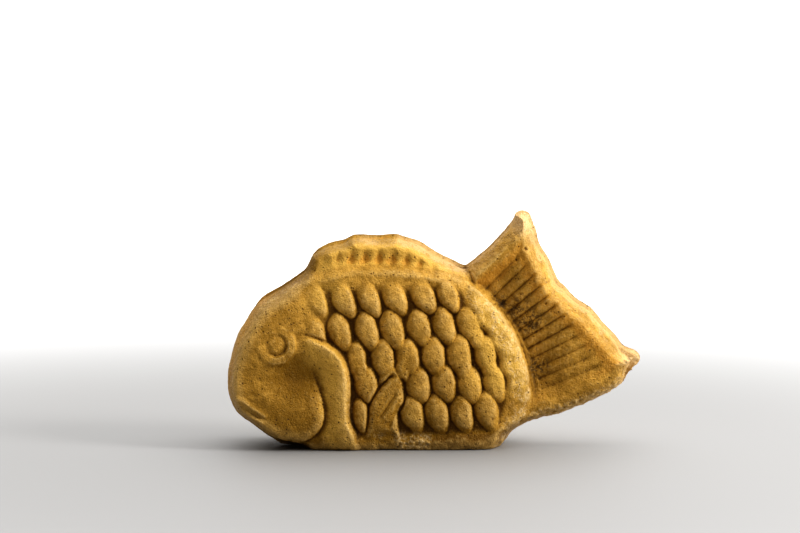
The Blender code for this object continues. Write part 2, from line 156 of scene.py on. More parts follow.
TAIL_RIM, TAIL_RIM_PLACE, TAIL_RIM_WIDTH = 0.9, 6.0, 2.4  # the tail's thicker edge
TAIL_DIP = 3.0  # how much thinner the tail is where it leaves the body
EYE_CENTRE = (-56.2, 37.8)
EYE_BALL, EYE_RING = 3.1, 7.2
BALL_HEIGHT, SOCKET_DEPTH, SOCKET_WIDTH = 0.35, 0.32, 0.85
UPPER_LIP = ((-73.6, 19.4), (-68.1, 18.1), (-63.4, 14.9), (-60.4, 12.9))
MOUTH_SLIT = ((-71.8, 16.6), (-67.6, 15.2), (-62.4, 12.0))
LOWER_LIP = ((-70.8, 13.8), (-65.4, 11.9), (-61.4, 10.8))
UPPER_LIP_HEIGHT, LOWER_LIP_HEIGHT, LIP_SIZE = 0.65, 0.75, 0.95
SLIT_DEPTH, SLIT_WIDTH = 0.25, 0.5

HARD_EDGE, SOFT_EDGE = (-1.0, 0.6), (-3, 3)  # spans over the body's edge, where it is a step and where soft
STEP_X, STEP_Z = (0, 16), (10, 24)  # it turns into a step over these, towards the tail and above the foot
HEAD_X = (28, 55)  # over these the cake's sides turn into the head's, towards the mouth
BARE_HEAD, BARE_FOOT, BARE_ROOT = (-57, -45), (3.0, 9.0), (12, 20)  # where scales run out
TEMPLE_X, TEMPLE_Z = (34, 48), (34, 64)
RELIEF_EDGE, MOUTH_EDGE = (1.0, 4.5), (0.3, 1.5)  # depths beside the seam where relief comes in
TAIL_WAY, EYE_WAY = (0.83, 0.55), (0.85, -0.53)  # where the tail's rim faces and the eye's ring is high

# ---- plane geometry --------------------------------------------------------------------------------
SPLINE_STEPS = 24  # dense points between two given points of a loop
BLOCK = 2000  # points measured at once, which keeps the memory small
ON_LOOP = 0.05  # nearer than this to a loop, the normal is that of its side


def smooth_loop(points, step):
    """A closed Catmull-Rom curve through the points, as points about one step apart."""
    p = np.array(points, float)
    before, after, beyond = np.roll(p, 1, 0), np.roll(p, -1, 0), np.roll(p, -2, 0)
    t = np.linspace(0, 1, SPLINE_STEPS, endpoint=False)[:, None]
    dense = np.concatenate([
        0.5 * (2 * b + (c - a) * t + (2 * a - 5 * b + 4 * c - d) * t**2 + (3 * b - a - 3 * c + d) * t**3)
        for a, b, c, d in zip(before, p, after, beyond)
    ])
    gaps = np.linalg.norm(np.roll(dense, -1, 0) - dense, axis=1)
    along = np.concatenate([[0], np.cumsum(gaps)])
    stations = np.linspace(0, along[-1], max(8, round(along[-1] / step)), endpoint=False)
    closed = np.vstack([dense, dense[:1]])
    return np.column_stack([np.interp(stations, along, closed[:, axis]) for axis in (0, 1)])


def inside_distance(at, loop):
    """For each point of at: its distance to the loop, positive inside, and the outward normal there."""
    side = np.roll(loop, -1, 0) - loop
    length2 = (side**2).sum(1)
    outward = np.column_stack([side[:, 1], -side[:, 0]]) / np.sqrt(length2)[:, None]
    distance, normal = np.empty(len(at)), np.empty((len(at), 2))
    for first in range(0, len(at), BLOCK):
        rows = slice(first, first + BLOCK)
        block = at[rows]
        off_x, off_z = block[:, :1] - loop[:, 0], block[:, 1:] - loop[:, 1]
        share = np.clip((off_x * side[:, 0] + off_z * side[:, 1]) / length2, 0, 1)
        away_x, away_z = off_x - share * side[:, 0], off_z - share * side[:, 1]
        gap2 = away_x**2 + away_z**2
        nearest = gap2.argmin(1)
        own = (np.arange(len(block)), nearest)
        crosses = (loop[:, 1] > block[:, 1:]) != (loop[:, 1] + side[:, 1] > block[:, 1:])
        with np.errstate(divide="ignore", invalid="ignore"):
            crossing_x = loop[:, 0] + off_z / side[:, 1] * side[:, 0]
        within = (crosses & (block[:, :1] < crossing_x)).sum(1) % 2 == 1
        sign = np.where(within, 1, -1)
        gap = np.sqrt(gap2[own])
        toward = -np.column_stack([away_x[own], away_z[own]]) / (np.maximum(gap, 1e-9) * sign)[:, None]
        distance[rows] = gap * sign
        normal[rows] = np.where(gap[:, None] > ON_LOOP, toward, outward[nearest])
    return distance, normal


def line_distance(at, points):
    """Distance from each point of at to an open run of straight lines, and how far along it, 0 to 1."""
    best, where = np.full(len(at), np.inf), np.zeros(len(at))
    count = len(points) - 1
    for i, (a, b) in enumerate(zip(points, points[1:])):
        a, side = np.array(a, float), np.array(b, float) - np.array(a, float)
        share = np.clip(((at - a) @ side) / (side @ side), 0, 1)
        gap = np.linalg.norm(at - a - share[:, None] * side, axis=1)
        where = np.where(gap < best, (i + share) / count, where)
        best = np.minimum(best, gap)
    return best, where


def to_place(at, place):
    """Distance from each point of at to one place."""
    return np.linalg.norm(at - np.array(place), axis=1)


def ramp(value, low, high):
    """0 below low, 1 above high, and a smooth step between."""
    t = np.clip((value - low) / (high - low), 0, 1)
    return t * t * (3 - 2 * t)


def bell(distance, width):
    """1 at no distance, falling away over the width."""
    return np.exp(-((distance / width) ** 2))


def smooth_min(a, b, radius):
    """The lower of a and b, rounded where they cross."""
    h = np.clip(0.5 + 0.5 * (b - a) / radius, 0, 1)
    return b + (a - b) * h - radius * h * (1 - h)


def smooth_max(a, b, radius):
    """The higher of a and b, rounded where they cross."""
    return -smooth_min(-a, -b, radius)


def pillow(inset, width):
    """The rise of a puffed edge: upright at its foot, level at width in from it."""
    t = np.clip(inset / width, 0, 1)
    return np.sqrt(1 - (1 - t) ** 2)


def highest(*layers):
    return np.maximum.reduce(layers)


# ---- relief ----------------------------------------------------------------------------------------
def scale_table():
    """Centre, half size and lean of each scale, none quite like the next, and of the bridges."""
    rng = np.random.default_rng(11)
    places = [(row, i) for row, (*_, count) in enumerate(SCALE_ROWS) for i in range(count)]
    leans = [SCALE_ROWS[row][4] for row, _ in places]
    leans += [0.0] * (len(SCALE_BRIDGES) + 1)
    centres = np.array([
        (SCALE_ROWS[row][0] + i * SCALE_ROWS[row][2], SCALE_ROWS[row][1] + i * SCALE_ROWS[row][3])
        for row, i in places
    ])
    bridges = np.array([
        centres[[places.index(a), places.index(b)]].mean(0) for a, b in SCALE_BRIDGES
    ])
    centres = centres + rng.uniform(-SCALE_JITTER, SCALE_JITTER, centres.shape)
    halves = np.array(SCALE_HALF) * rng.uniform(1 - SCALE_SPREAD, 1 + SCALE_SPREAD, centres.shape)
    halves[places.index(SQUEEZED)] *= SQUEEZE
    halves = np.vstack([halves, np.tile(BRIDGE_HALF, (len(bridges), 1)), STEM_HALF])
    return np.vstack([centres, bridges, FIN_STEM]), halves, np.array(leans)


def crest_relief(at, body):
    """The last scales, grown into one thick ridge along the body's edge, scalloped on its inner side."""
    turn = 2 * math.pi / CREST_PITCH
    scallop = np.cos(turn * (at[:, 1] - CREST_LEAN * at[:, 0] + CREST_START))
    full, gone = CREST_WIDTH
    fall = np.clip((body + CREST_SCALLOP * scallop - full) / (gone - full), 0, 2) ** 2
    return (1 - fall + 0.05 * scallop) * ramp(at[:, 0], 6, 16) * ramp(at[:, 1], 14, 24)


def plain_relief(at):
    """The plain crust that the scales are lost in: above the top row, and at the nape."""
    first_x, first_z = SCALE_ROWS[0][:2]
    above_row = at[:, 1] - (first_z + 0.035 * (at[:, 0] - first_x))
    to_nape = -at[:, 0] + 0.25 * (at[:, 1] - 50)
    return np.maximum(0.9 * ramp(above_row, -4.5, 8.0), 0.75 * ramp(to_nape, 31, 45))


def scale_relief(at, body):
    """Staggered rows of domed scales: deep hollows beside each, shallow creases above and below it."""
    centres, halves, lean = scale_table()
    off = at[:, None, :] - centres[None]
    off[..., 0] += lean * off[..., 1]
    off /= halves
    across = off[..., 0] - SCALE_SKEW * (1 - np.clip(off[..., 0] ** 2, 0, 1))
    domes = 1 - (across**2 + off[..., 1] ** 2) ** SCALE_FULL
    domes = np.sort(np.clip(np.column_stack([domes, crest_relief(at, body)]), -1, 2), axis=1)
    height = smooth_max(domes[:, -1], domes[:, -2], SCALES_MEET)
    height = smooth_max(height, plain_relief(at), PLAIN_MEETS)
    return smooth_max(height, 0.0, FLAT_MEETS)


def fin_relief(at):
    """The pectoral fin: a flat blade with creases. Returns its height and where it covers the scales."""
    inset, _ = inside_distance(at, smooth_loop(FIN, 0.6))
    height = FIN_HEIGHT * pillow(inset, FIN_EDGE)
    for start, end, depth in FIN_CREASES:
        gap, _ = line_distance(at, (start, end))
        height = height - depth / SCALE_RISE * bell(gap, CREASE_WIDTH) * ramp(inset, 0, 1)
    height = np.minimum(height, SCALE_MIDDLE + 0.4 * ramp(at[:, 1], 2, 9))  # runs out into the belly
    return height, ramp(inset, -1.0, 0.2) * ramp(to_place(at, FIN_STEM), 2.5, 5.5)


def groove_feet(first, last, bow, count):
    """count points from first to last on a line that bows to its left by bow."""
    first, last = np.array(first, float), np.array(last, float)
    side = last - first
    left = np.array([-side[1], side[0]]) / np.linalg.norm(side)
    t = np.linspace(0, 1, count)[:, None]
    return first + t * side + bow * np.sin(math.pi * t) * left


def tail_relief(at):
    """Rays of the tail: round ribs between narrow grooves, fainter at both ends of the fan."""
    cut = np.zeros(len(at))
    feet = zip(groove_feet(*TAIL_START, TAIL_GROOVES), groove_feet(*TAIL_END, TAIL_GROOVES))
    narrow, wide = TAIL_WIDTHS
    for i, (inner, outer) in enumerate(feet):
        gap, along = line_distance(at, (inner, outer))
        depth = ramp(i, -3, 4) * (1 - 0.5 * ramp(i, TAIL_GROOVES - 6, TAIL_GROOVES))
        taper = depth * ramp(along, 0, 0.05) * ramp(1 - along, 0, 0.2)
        cut = np.maximum(cut, taper * (0.55 * bell(gap, narrow) + 0.45 * bell(gap, wide)))
    return -TAIL_DEPTH * cut


def dorsal_relief(at):
    """Short upright grooves along the dorsal fin, longest in the middle, above a soft ledge."""
    cut = np.zeros(len(at))
    low, high = DORSAL_HEIGHT
    for i, foot in enumerate(groove_feet(DORSAL_FIRST, DORSAL_LAST, 0.0, DORSAL_GROOVES)):
        arch = math.sin(math.pi * (i + 0.5) / DORSAL_GROOVES)
        top = foot + np.array([DORSAL_LEAN, low + (high - low) * arch])
        gap, along = line_distance(at, (foot, top))
        taper = 0.4 + 0.6 * ramp(along, 0, 0.3) * ramp(1 - along, 0, 0.5)
        cut = np.maximum(cut, taper * bell(gap, DORSAL_WIDTH))
    ridge, _ = line_distance(at, DORSAL_FOOT)
    return LEDGE_HEIGHT * bell(ridge, LEDGE_WIDTH) - DORSAL_DEPTH * cut * ramp(ridge, 0.8, 2.2)


def eye_relief(at):
    """A flat eyeball in a thin groove, and a raised ring that stands out below and behind the eye."""
    r = to_place(at, EYE_CENTRE)
    ball = BALL_HEIGHT * np.clip(1 - (r / (EYE_BALL + 0.5)) ** 2, 0, 1) ** 0.7
    socket = -SOCKET_DEPTH * bell(r - EYE_BALL - 0.2, SOCKET_WIDTH)
    below_behind = (at - np.array(EYE_CENTRE)) @ np.array(EYE_WAY) / np.maximum(r, 0.1)
    ring = 0.15 + 0.65 * ramp(below_behind, -0.6, 0.7)
    return ball + socket + ring * ramp(r, 3.2, 4.6) * ramp(EYE_RING + 0.6 - r, 0, 1.6)


def mouth_relief(at):
    """The slit of the mouth between two raised lips that meet behind it."""
    upper, lower, slit = (line_distance(at, run)[0] for run in (UPPER_LIP, LOWER_LIP, MOUTH_SLIT))
    lips = np.maximum(UPPER_LIP_HEIGHT * bell(upper, LIP_SIZE), LOWER_LIP_HEIGHT * bell(lower, LIP_SIZE))
    return lips - SLIT_DEPTH * bell(slit, SLIT_WIDTH)


def gill_relief(at, gill):
    """The gill plate and its ridge, lower where they meet the belly and lost in the head above."""
    standing = 0.3 + 0.7 * ramp(at[:, 1], 0, 9)
    lost = ramp(-at[:, 0], 44, 52)
    rise = (1 - lost) * pillow(gill + 0.2, 2.6 + 4 * lost) + lost * ramp(gill, -6, 14)
    ridge = bell(np.maximum(gill - 1.8, 0), RIDGE_WIDTH) * ramp(gill, 0, 2) * ramp(at[:, 0], -48, -38)
    return standing * (GILL_RISE * rise + GILL_RIDGE * ridge)


def cheek_relief(at, gill, cheek):
    """The cheek's puffed edge and the valley beside it, which run out beside the eye."""
    rise = pillow(cheek + 0.2, 2.4 + 2.6 * ramp(at[:, 1], 8, 22))
    valley = ramp(gill, 0, 3) * bell(np.minimum(cheek, 0), VALLEY_WIDTH)
    return ramp(32 - at[:, 1], 0, 13) * (CHEEK_RISE * rise - CHEEK_VALLEY * valley)


def head_relief(at):
    """Eye, brow, the hollow between eye, cheek and gill, and the temple that slopes back."""
    hollow = np.linalg.norm((at - np.array(HOLLOW)) / np.array(HOLLOW_SIZE), axis=1)
    temple = ramp(-at[:, 0], *TEMPLE_X) * ramp(at[:, 1], *TEMPLE_Z) ** 2
    brow = BROW_HEIGHT * bell(to_place(at, EYE_CENTRE), BROW_SIZE)
    return eye_relief(at) + brow - HOLLOW_DEPTH * bell(hollow, 1.0) - TEMPLE_DEPTH * temple


def scaled_area(at, body, gill, step_share):
    """1 where the body carries scales: not on the head, the gill, the belly's foot or the tail's root."""
    edge = step_share * ramp(body, *HARD_EDGE) + (1 - step_share) * ramp(body, *SOFT_EDGE)
    area = edge * ramp(-gill, -0.4, 0.8) * ramp(at[:, 1], *BARE_FOOT)
    area *= 1 - ramp(at[:, 0] - 0.6 * at[:, 1], *BARE_ROOT)
    return area * ramp(at[:, 0], *BARE_HEAD)


def base_form(at, body, step_share):
    """Half thickness without relief: fins, a body that stands above them, and its dome."""
    steep = step_share * (1 - 0.7 * ramp(at[:, 1], 46, 58))
    step = pillow(body + 0.8, 4.4)
    soft = (0.55 + 0.45 * ramp(body, 0, 12)) * ramp(body, *SOFT_EDGE)
    swell = 1 - (1 - np.clip(body / DOME_REACH, 0, 1)) ** 2
    return PLATE + BODY_RISE * (steep * step + (1 - steep) * soft) + BODY_DOME * swell


def fins_relief(at, inset, body, step_share):
    """Tail and dorsal fin: their grooves, and the tail's thick edge round a thinner middle."""
    tail = 1 - ramp(body, -2.5, 0.5)
    rim = TAIL_RIM * bell(inset - TAIL_RIM_PLACE, TAIL_RIM_WIDTH)
    dip = TAIL_DIP * ramp(body, -19, -1) * ramp(inset, 3, 10)
    tail_form = tail_relief(at) * tail + step_share * tail * (rim - dip)
    return tail_form + dorsal_relief(at) * (1 - step_share * tail)


def design(at):
    """What both halves share over each point of the seam plane: distances into the regions and relief."""
    inset, outward = inside_distance(at, smooth_loop(OUTLINE, 0.8))
    body, _ = inside_distance(at, smooth_loop(BODY, 2.0))
    gill, _ = inside_distance(at, smooth_loop(GILL, 0.8))
    cheek, _ = inside_distance(at, smooth_loop(CHEEK, 0.8))
    # the body's edge is a step at the tail and a soft rise under the dorsal fin
    step_share = ramp(at[:, 0], *STEP_X) * (0.25 + 0.75 * ramp(at[:, 1], *STEP_Z))
    fin, under_fin = fin_relief(at)
    scales = smooth_max(scale_relief(at, body) * (1 - 0.6 * under_fin), fin, FIN_MEETS)
    relief = SCALE_RISE * (scales - SCALE_MIDDLE) * scaled_area(at, body, gill, step_share)
    relief += gill_relief(at, gill) + cheek_relief(at, gill, cheek) + head_relief(at)
    relief += fins_relief(at, inset, body, step_share)
    relief -= BELLY_TUCK * (1 - pillow(at[:, 1] + 0.1, BELLY_TUCK_HEIGHT))
    solid = base_form(at, body, step_share)
    return dict(inset=inset, outward=outward, body=body, gill=gill, solid=solid, relief=relief)


def edge_form(at, outward, upper_corner):
    """How steeply the edge rises from the seam at each point, and how broadly it bends into the face."""
    head = ramp(-at[:, 0], *HEAD_X)
    up = ramp(outward[:, 1], 0.3, 0.8) * ramp(14 - at[:, 0], 0, 4)
    up = np.maximum(up, ramp(-outward[:, 0], 0.3, 0.7)) * (1 - head)
    up = up + (UPPER_STEEP - up) * np.clip(1.5 * upper_corner, 0, 1)
    down = ramp(-outward[:, 1], 0.2, 0.8) * (1 - head)
    slope = WALL_SLOPE + (HEAD_SLOPE - WALL_SLOPE) * head
    slope = slope + (TOP_SLOPE - WALL_SLOPE) * up + (BELLY_SLOPE - WALL_SLOPE) * down
    shoulder = SHOULDER + (HEAD_SHOULDER - SHOULDER) * head + (TOP_SHOULDER - SHOULDER) * up
    return slope, shoulder


def thickness(at, plan, rear):
    """Half thickness of the cake over each point of the seam plane, for the rear or the front half."""
    drift = plan["outward"] @ np.array(HALVES_SHIFT)
    inset = plan["inset"] - np.maximum(-drift if rear else drift, 0)
    if not rear:
        inset = inset - TIP_SET_BACK * bell(to_place(at, REAR_CORNER), TIP_REACH)
    upper_corner = bell(to_place(at, UPPER_CORNER), UPPER_REACH)
    slope, shoulder = edge_form(at, plan["outward"], upper_corner)
    wall = LIP * (1 - np.exp(-np.maximum(inset, 0) / LIP_WIDTH)) + np.maximum(inset, 0) * slope
    surface = smooth_min(wall, plan["solid"] - UPPER_SINK * upper_corner, shoulder)
    surface = surface + plan["relief"] * ramp(inset, *RELIEF_EDGE)
    surface = surface + mouth_relief(at) * ramp(inset, *MOUTH_EDGE)
    return np.maximum(surface, 0)


def seam_shift(plan):
    """How far the seam's own line leans to the rear, where the rear half stands out past the front one."""
    drift = plan["outward"] @ np.array(HALVES_SHIFT)
    fade = 1 - ramp(plan["inset"], 0, np.abs(drift) + 0.4)
    return SEAM_LEAN * drift * fade


# ---- mesh ------------------------------------------------------------------------------------------
HEX_ROW = 0.866  # height of a row of even triangles, as a share of their side
CROWDED = 0.93  # a rim point closer to the outline than this share of its depth is left out
CLEAR_OF_FOOT, CLEAR_OF_RIM = 0.4, 0.6  # steps between the foot or the rim and the nearest inner points
MERGE = 1e-6


def cut_at_table(loop, step):
    """The part of the outline above z = 0, closed along that line. Returns the loop and its foot's start."""
    above = loop[:, 1] > 0.25 * step
    start = next(i for i in range(len(loop)) if above[i] and not above[i - 1])
    run = np.roll(loop, -start, 0)
    kept = run[: int(above.sum())]
    crossings = []
    for inner, outer in ((kept[-1], run[len(kept)]), (kept[0], run[-1])):
        share = inner[1] / (inner[1] - outer[1])
        crossings.append(inner + share * (outer - inner))
    left, right = crossings
    count = max(2, round(abs(right[0] - left[0]) / step))
    foot = np.column_stack([np.linspace(left[0], right[0], count + 1), np.zeros(count + 1)])
    return np.vstack([kept, foot]), len(kept)


def hex_grid(low, high, step):
    """Points of a triangular grid over a box."""
    rows = int((high[1] - low[1]) / (step * HEX_ROW)) + 1
    columns = int((high[0] - low[0]) / step) + 1
    j, i = np.mgrid[0:rows, 0:columns]
    x = low[0] + (i + 0.5 * (j % 2)) * step
    return np.column_stack([x.ravel(), (low[1] + j * step * HEX_ROW).ravel()])


def plan_points(step):
    """Points and triangles that fill the outline above the table, with the loop of its border first."""
    outline = smooth_loop(OUTLINE, step)
    border, foot_start = cut_at_table(outline, step)
    _, outward = inside_distance(outline, outline)
    parts = [border]
    for depth in RIM_ROWS:
        row = outline - depth * outward
        inset, _ = inside_distance(row, outline)
        parts.append(row[(inset > CROWDED * depth) & (row[:, 1] > CLEAR_OF_FOOT * step)])
    grid = hex_grid((outline[:, 0].min(), HEX_ROW * step), outline.max(0), step)
    inset, _ = inside_distance(grid, outline)
    parts.append(grid[inset > RIM_ROWS[-1] + CLEAR_OF_RIM * step])
    flat = np.vstack(parts)
    ring = [(i, (i + 1) % len(border)) for i in range(len(border))]
    made = delaunay_2d_cdt([Vector(p) for p in flat], ring, [], 1, MERGE)
    assert len(made[0]) == len(flat), "the outline crosses itself"
    return flat, [tuple(face) for face in made[2]], len(border), foot_start


def foot_strip(points, back_index, run, shared):
    """The points with those of the flat foot added, and its faces, from the front half to the rear one."""
    faces, ladder = [], []
    for i in run:
        if shared[i]:
            ladder.append([i])
            continue
        a, b = points[i], points[back_index[i]]
        first = len(points)
        points = np.vstack([points, [a + (b - a) * k / FOOT_ROWS for k in range(1, FOOT_ROWS)]])
        ladder.append([i, *range(first, first + FOOT_ROWS - 1), int(back_index[i])])
    for left, right in zip(ladder, ladder[1:]):
        for k in range(FOOT_ROWS):
            a, b = left[min(k, len(left) - 1)], left[min(k + 1, len(left) - 1)]
            c, d = right[min(k + 1, len(right) - 1)], right[min(k, len(right) - 1)]
            faces.append(tuple(dict.fromkeys((a, b, c, d))))
    return points, faces


def both_halves(step):
    """Points and faces of the cake in millimetres: both halves, joined at the seam and by the flat foot."""
    flat, triangles, border, foot_start = plan_points(step)
    plan = design(flat)
    feet = list(range(foot_start + 1, border - 1))
    shared = np.zeros(len(flat), bool)
    shared[:border] = True
    shared[feet] = False
    front, back = thickness(flat, plan, False), thickness(flat, plan, True)
    front[shared] = 0
    shift = seam_shift(plan)
    front_points = np.column_stack([flat[:, 0], shift - front, flat[:, 1]])
    back_points = np.column_stack([flat[:, 0], shift + back, flat[:, 1]])[~shared]
    back_index = np.where(shared, np.arange(len(flat)), len(flat) + np.cumsum(~shared) - 1)
    faces = []
    for a, b, c in triangles:
        faces.append((a, b, c))
        faces.append((int(back_index[c]), int(back_index[b]), int(back_index[a])))
    run = [foot_start, *feet, border - 1]
    points, foot_faces = foot_strip(np.vstack([front_points, back_points]), back_index, run, shared)
    own = np.concatenate([np.arange(len(flat)), np.flatnonzero(~shared)])
    own = np.concatenate([own, np.full(len(points) - len(own), foot_start)])
    marks = {name: plan[name][own] for name in ("inset", "body", "gill", "outward")}
    return points, faces + foot_faces, marks


def mesh_of(name, points, faces):
    mesh = bpy.data.meshes.new(name)
    mesh.from_pydata(points * MM, [], faces)
    mesh.update()
    return mesh


def vertex_normals(mesh):
    flat = np.empty(len(mesh.vertices) * 3, np.float32)
    mesh.vertex_normals.foreach_get("vector", flat)
    return flat.reshape(-1, 3).astype(float)


def store(mesh, name, values):
    """Writes a number for each vertex, for the material to read."""
    layer = mesh.attributes.new(name, "FLOAT", "POINT")
    layer.data.foreach_set("value", np.asarray(values, np.float32))


# ---- crust -----------------------------------------------------------------------------------------
LUMPS = ((0.32, 11.0, 1), (0.14, 3.2, 2))  # height, size and seed of the lumps all over
SOFT_LUMPS = (0.45, 4.5, 9)  # the same, on the crest and near the foot
GRAIN, CRUMBS = (0.09, 1.2, 3), (0.5, 1.6, 6)
PIT_COUNT, PIT_SEED = 150, 5
PIT_RADIUS, PIT_SPREAD = 0.24, 0.06
CAVITY_ROUNDS, VALLEY_ROUNDS = 4, 110  # rounds of smoothing that find fine and broad hollows
TORN_SPOT = ((1.2, -10, 4, 9),)  # spots are strength, x, z and size
# pale batter with a painted highlight on it, at the tail's upper tip and rear corner
PALE_AND_HIGHLIGHT_SPOTS = ((1.0, 33, 83, 7), (1.0, 73, 33, 6))
# painted light on two scales
PAINTED_LIGHT_SPOTS = ((0.7, -38, 55, 8), (0.5, -8, 12, 5))
# painted glints at the tail's upper tip and rear corner
GLINT_SPOTS = ((0.8, 33, 84, 7), (1.0, 73, 32, 6))
# painted shade on the cheek and in the middle of the tail
CHEEK_SHADE_SPOT, TAIL_SHADE_SPOT = ((1.8, -50, 26, 9),), ((0.5, 42, 30, 18),)
# where the painted shade of hollows is left off, at the tail's rear corner
UNSHADED_CORNER_SPOT = ((0.9, 72, 32, 8),)
CHAR_SPOTS = ((1.0, 22.5, 52, 4.5), (0.9, 34, 46, 6.0), (1.0, 37.5, 29, 4.5), (0.7, 30, 50, 7))


def fractal(points, size, octaves, seed):
    """Noise of about -1 to 1 at each point, its largest lumps about size across."""
    shift = Vector((seed * 17.3, seed * -9.1, seed * 5.7))
    values = [noise.fractal(Vector(p) / size + shift, 0.9, 2.1, octaves) for p in points]
    return np.array(values)


def lumpy(points, height, size, seed):
    return height * fractal(points, size, 2, seed)


def neighbour_mean(mesh, values):
    """Mean of the values over each vertex's neighbours."""
    edges = np.empty(len(mesh.edges) * 2, np.int32)
    mesh.edges.foreach_get("vertices", edges)
    a, b = edges.reshape(-1, 2).T
    count = np.bincount(a, minlength=len(values)) + np.bincount(b, minlength=len(values))
    sums = [
        np.bincount(a, v[b], minlength=len(values)) + np.bincount(b, v[a], minlength=len(values))
        for v in values.T
    ]
    return np.column_stack(sums) / count[:, None]


def hollowness(mesh, points, normals, rounds):
    """How far each point lies below the smoothed surface round it, in millimetres."""
    smooth = points.copy()
    for _ in range(rounds):
        smooth = 0.5 * smooth + 0.5 * neighbour_mean(mesh, smooth)
    return ((smooth - points) * normals).sum(1)


def pits(points):
    """Burst bubbles, fewer beside the seam: how far each point sinks."""
    rng = np.random.default_rng(PIT_SEED)
    weight = np.where(np.abs(points[:, 1]) > 4, 1.0, 0.4) * (points[:, 2] > 1)
    chosen = rng.choice(len(points), PIT_COUNT, replace=False, p=weight / weight.sum())
    depth = np.zeros(len(points))
    for centre, radius in zip(points[chosen], PIT_RADIUS + rng.gamma(1.5, PIT_SPREAD, PIT_COUNT)):
        near = np.flatnonzero(np.abs(points[:, 0] - centre[0]) < 3 * radius)
        gap = np.linalg.norm(points[near] - centre, axis=1)
        depth[near] = np.maximum(depth[near], 0.9 * radius * bell(gap, radius))
    return depth


def spots(points, table):
    """Round soft spots on either face, each at its strength in the middle and falling away over its size."""
    return highest(*(
        strength * np.exp(-((points[:, 0] - x) ** 2 + (points[:, 2] - z) ** 2) / size**2)
        for strength, x, z, size in table
    ))


def wear(points, marks):
    """Where the crust is uneven, crumbly, and thick on the crest: three numbers for each point."""
    rough = fractal(points, 3.0, 3, 4)
    torn = ramp(fractal(points, 6.0, 2, 8) + spots(points, TORN_SPOT), 0.45, 0.9)
    belly = torn * ramp(8.5 - points[:, 2], 0, 4) * ramp(-marks["gill"], 0, 3)
    under_tail = ramp(-marks["body"], 0, 2) * ramp(5.5 - marks["inset"], 0, 3) * (points[:, 2] < 30)
    on_crest = ramp(marks["body"], -1, 1) * ramp(8.0 - marks["body"], 0, 3) * ramp(points[:, 0], 6, 20)
    return rough, np.maximum(belly, under_tail), on_crest


def roughened(points, normals, crumbly, on_crest):
    """The points moved along their normals by lumps, crumbs and burst bubbles, and how far these sink."""
    lumps = lumpy(points, *LUMPS[0]) + lumpy(points, *LUMPS[1])
    soft = np.maximum(0.9 * on_crest, 0.8 * ramp(9 - points[:, 2], 0, 5))
    lumps += soft * lumpy(points, *SOFT_LUMPS)
    grain = lumpy(points, *GRAIN) + crumbly * lumpy(points, *CRUMBS)
    sink = pits(points)
    points = points + normals * (lumps + grain - sink)[:, None]
    points[:, 2] = np.maximum(points[:, 2], 0)
    return points, sink


def regions(points, marks, rough):
    """Parts of the crust that differ in colour or where light and shade are painted, each 0 to 1 for each
    point.
    """
    x, z = points[:, 0], points[:, 2]
    inset, body, gill = marks["inset"], marks["body"], marks["gill"]
    behind = ramp(-body, 0, 2)
    trailing = ramp(marks["outward"] @ np.array(TAIL_WAY), 0.3, 0.8)
    seam = (1 - ramp(inset + 0.35 * rough, 0.4, 1.8)) * (1 - 0.7 * ramp(14 - x, 0, 6) * ramp(z, 2, 8))
    return dict(
        behind=behind,
        seam=seam,
        wall=0.6 * behind * trailing * ramp(4.6 - inset + 1.4 * rough, 0, 2.6),
        dorsal=behind * ramp(10 - x, 0, 6) * ramp(x, -48, -40) * ramp(z, 50, 56),
        gill_plate=ramp(gill, 0, 2) * (1 - ramp(gill, 8, 13)) * ramp(x, -50, -42),
        rear_scales=ramp(x, 4, 22) * ramp(z, 14, 26) * ramp(body, 0, 2),
    )


def store_pale_and_painted_light(mesh, points, marks, area, crumbly, on_crest, rough):
    """Pale batter at the seam and the tail's tips, with a painted highlight on the tips; painted light on
    the dorsal fin, the gill plate, the rear scales and two scales; painted glints on high spots, with pale
    crumbs.
    """
    inset, gill = marks["inset"], marks["gill"]
    # pale batter at the seam and the wall, with a painted highlight at the tail's tips
    store(mesh, "pale", highest(0.8 * area["seam"], area["wall"], spots(points, PALE_AND_HIGHLIGHT_SPOTS)))
    # painted light on the dorsal fin, the gill plate, the rear scales and two scales
    store(mesh, "painted_light", highest(
        0.75 * area["dorsal"] * (0.5 + 0.5 * ramp(inset, 2, 5)), 0.85 * area["gill_plate"],
        0.85 * area["rear_scales"], spots(points, PAINTED_LIGHT_SPOTS),
    ))
    # painted glints on the crest, the tips and the gill ridge, and pale crumbs where the crust is crumbly
    store(mesh, "glint_and_crumbs", highest(
        on_crest * ramp(rough + 0.5, 0, 0.8), 0.9 * crumbly, spots(points, GLINT_SPOTS),
        0.4 * bell(gill - 1.2, 1.6) * ramp(34 - points[:, 2], 0, 6),
    ))


